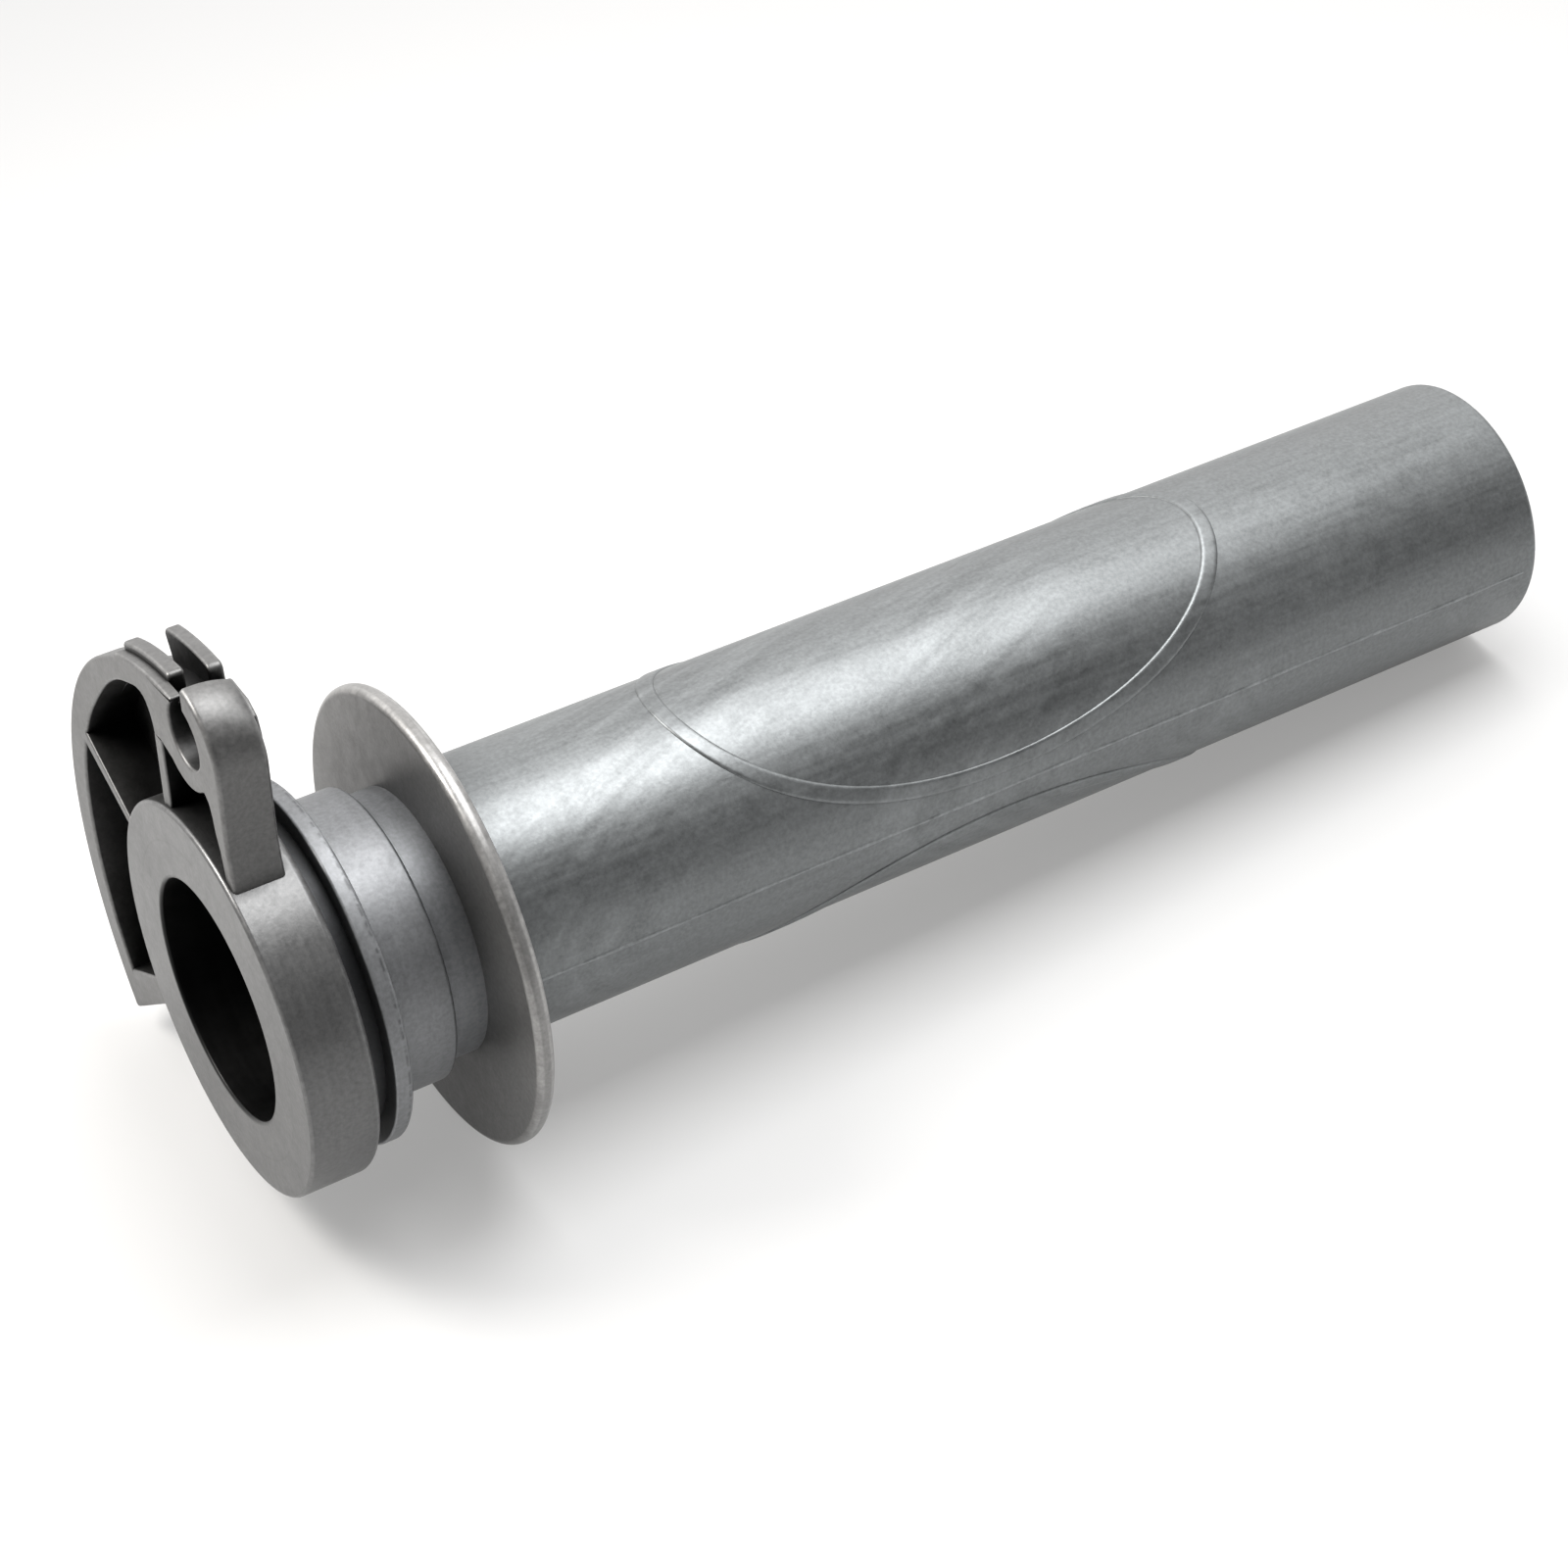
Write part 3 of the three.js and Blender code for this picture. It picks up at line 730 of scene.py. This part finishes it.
def oval_band(name, centre, node):
    """A low band that follows an oval wrapped round the sleeve, centred on an angle."""
    steps = 480
    bm = bmesh.new()
    rings, worn_and_sheen = [], []
    for i in range(steps):
        t = 2 * math.pi * i / steps
        across = Vector((OVAL_REACH * math.cos(t), OVAL_HALF_LENGTH * math.sin(t))).normalized()
        ring = []
        for offset, height in BAND_SECTION:
            x = OVAL_X + OVAL_HALF_LENGTH * math.cos(t) + across.x * offset
            a = math.radians(centre) + (OVAL_REACH * math.sin(t) + across.y * offset) / TUBE_R
            r = TUBE_R + height
            ring.append(bm.verts.new((x * MM, r * MM * math.cos(a), r * MM * math.sin(a))))
        # The band's edges are lightened a little: edge wear and a painted highlight
        worn_and_sheen += [ring[k] for k in BAND_WORN_AND_SHEEN]
        rings.append(ring)
    count = len(BAND_SECTION)
    for i in range(steps):
        one, two = rings[i], rings[(i + 1) % steps]
        for k in range(count):
            m = (k + 1) % count
            bm.faces.new((one[k], one[m], two[m], two[k]))
    mesh = finish_mesh(bm, name, sharp_degrees=40.0, worn_and_sheen=worn_and_sheen, amount=0.2)
    return dress(link_piece(name, mesh, [node]), MAT_SLEEVE)


oval_band("oval_band_top_bead", 90.0, "oval_band_top")
oval_band("oval_band_under_bead", 270.0, "oval_band_under")


def parting_line(name, angle, node):
    """A thin, slightly uneven flash line along the sleeve."""
    low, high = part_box(node)
    x0, x1 = low.x / MM, high.x / MM
    steps = 260
    bm = bmesh.new()
    rings, worn_and_sheen = [], []
    for i in range(steps + 1):
        x = x0 + (x1 - x0) * i / steps
        wave = 0.5 + 0.5 * math.sin(0.9 * x + 1.3 * math.sin(0.37 * x))
        height = 0.05 + 0.04 * wave
        half = 0.19 + 0.04 * math.sin(0.53 * x + angle)
        drift = 0.05 * math.sin(0.21 * x)
        ring = []
        for offset, h in ((-half - 0.1, -0.04), (-half * 0.5, height * 0.8), (0.0, height),
                          (half * 0.5, height * 0.8), (half + 0.1, -0.04)):
            a = math.radians(angle) + (offset + drift) / TUBE_R
            r = TUBE_R + h
            ring.append(bm.verts.new((x * MM, r * MM * math.cos(a), r * MM * math.sin(a))))
        # The flash line's crest is lightened: edge wear and a painted highlight
        worn_and_sheen += ring[1:-1]
        rings.append(ring)
    count = len(rings[0])
    for one, two in zip(rings, rings[1:]):
        for k in range(count):
            m = (k + 1) % count
            bm.faces.new((one[k], one[m], two[m], two[k]))
    bm.faces.new(rings[0])
    bm.faces.new(list(reversed(rings[-1])))
    mesh = finish_mesh(bm, name, sharp_degrees=50.0, worn_and_sheen=worn_and_sheen, amount=1.2)
    return dress(link_piece(name, mesh, [node]), MAT_SLEEVE)


parting_line("parting_line_near_flash", 178.5, "parting_line_near")
parting_line("parting_line_far_flash", 358.5, "parting_line_far")


# ---- Floor, lights and camera ----------------------------------------------------------

scene = bpy.context.scene
scene.view_settings.view_transform = "Standard"
scene.view_settings.look = "None"

# The part rests on its flange and on the sleeve's free end, so the floor leans a little.
floor_tilt = math.atan2(FLANGE_R - TUBE_R, TUBE_X1 - FLANGE_X1)
bm = bmesh.new()
bmesh.ops.create_grid(bm, x_segments=1, y_segments=1, size=3.0)
floor_mesh = bpy.data.meshes.new("floor")
bm.to_mesh(floor_mesh)
bm.free()
floor = bpy.data.objects.new("floor", floor_mesh)
scene.collection.objects.link(floor)
floor.location = ((FLANGE_X1 - 0.8) * MM, 0, -(FLANGE_R + 0.05) * MM)
floor.rotation_euler = (0, -floor_tilt, 0)
floor_mat = bpy.data.materials.new("floor_paper")
floor_mat.use_nodes = True
floor_bsdf = floor_mat.node_tree.nodes["Principled BSDF"]
floor_bsdf.inputs["Base Color"].default_value = (0.44, 0.44, 0.44, 1)
floor_bsdf.inputs["Roughness"].default_value = 0.95
floor_bsdf.inputs["Specular IOR Level"].default_value = 0.0
floor_bsdf.inputs["Emission Color"].default_value = (1.0, 0.995, 0.985, 1)
floor_bsdf.inputs["Emission Strength"].default_value = 0.3
floor_mesh.materials.append(floor_mat)

world = bpy.data.worlds.new("studio")
scene.world = world
world.use_nodes = True
sky = world.node_tree
sky.nodes.clear()
sky_out = sky.nodes.new("ShaderNodeOutputWorld")
sky_light = sky.nodes.new("ShaderNodeBackground")
sky_light.inputs["Color"].default_value = (1.0, 0.99, 0.98, 1)
sky.links.new(sky_light.outputs[0], sky_out.inputs[0])

# Brightest on the far side and above, falling to a dim level on the near side
sky_dot = sky.nodes.new("ShaderNodeVectorMath")
sky_dot.operation = "DOT_PRODUCT"
sky_dot.inputs[1].default_value = (0.2, 0.9, 0.35)
sky.links.new(sky.nodes.new("ShaderNodeTexCoord").outputs["Generated"], sky_dot.inputs[0])
sky_ramp = sky.nodes.new("ShaderNodeMapRange")
sky_ramp.inputs["From Min"].default_value = -0.7
sky_ramp.inputs["From Max"].default_value = 0.8
sky.links.new(sky_dot.outputs["Value"], sky_ramp.inputs["Value"])
sky_curve = sky.nodes.new("ShaderNodeMath")
sky_curve.operation = "POWER"
sky_curve.inputs[1].default_value = 2.5
sky.links.new(sky_ramp.outputs[0], sky_curve.inputs[0])
sky_gain = sky.nodes.new("ShaderNodeMath")
sky_gain.operation = "MULTIPLY_ADD"
sky_gain.inputs[1].default_value = 1.45
sky_gain.inputs[2].default_value = 0.2
sky.links.new(sky_curve.outputs[0], sky_gain.inputs[0])
sky.links.new(sky_gain.outputs[0], sky_light.inputs["Strength"])


def area_light(name, place, aim, size, power, colour=(1, 1, 1)):
    data = bpy.data.lights.new(name, "AREA")
    data.shape = "RECTANGLE"
    data.size, data.size_y = size
    data.energy = power
    data.color = colour
    obj = bpy.data.objects.new(name, data)
    scene.collection.objects.link(obj)
    obj.location = place
    direction = Vector(aim) - Vector(place)
    obj.rotation_euler = direction.to_track_quat("-Z", "Y").to_euler()
    return obj


area_light("key_softbox", (0.115, 0.002, 0.29), (0.03, 0, 0), (0.2, 0.2), 1.05)
area_light("end_softbox", (-0.075, 0.05, 0.115), (0, 0.01, 0.01), (0.06, 0.06), 0.25,
           (1.0, 0.97, 0.93))

CAMERA_PLACE = (-0.0719, -0.2072, 0.2048)
CAMERA_PITCH = -40.15
CAMERA_YAW = 32.02
camera_data = bpy.data.cameras.new("camera")
camera_data.sensor_width = 36.0
camera_data.lens = 78.75
camera_data.clip_start = 0.01
camera = bpy.data.objects.new("camera", camera_data)
scene.collection.objects.link(camera)
camera.location = CAMERA_PLACE
camera.rotation_euler = (math.radians(90 + CAMERA_PITCH), 0, math.radians(-CAMERA_YAW))
scene.camera = camera
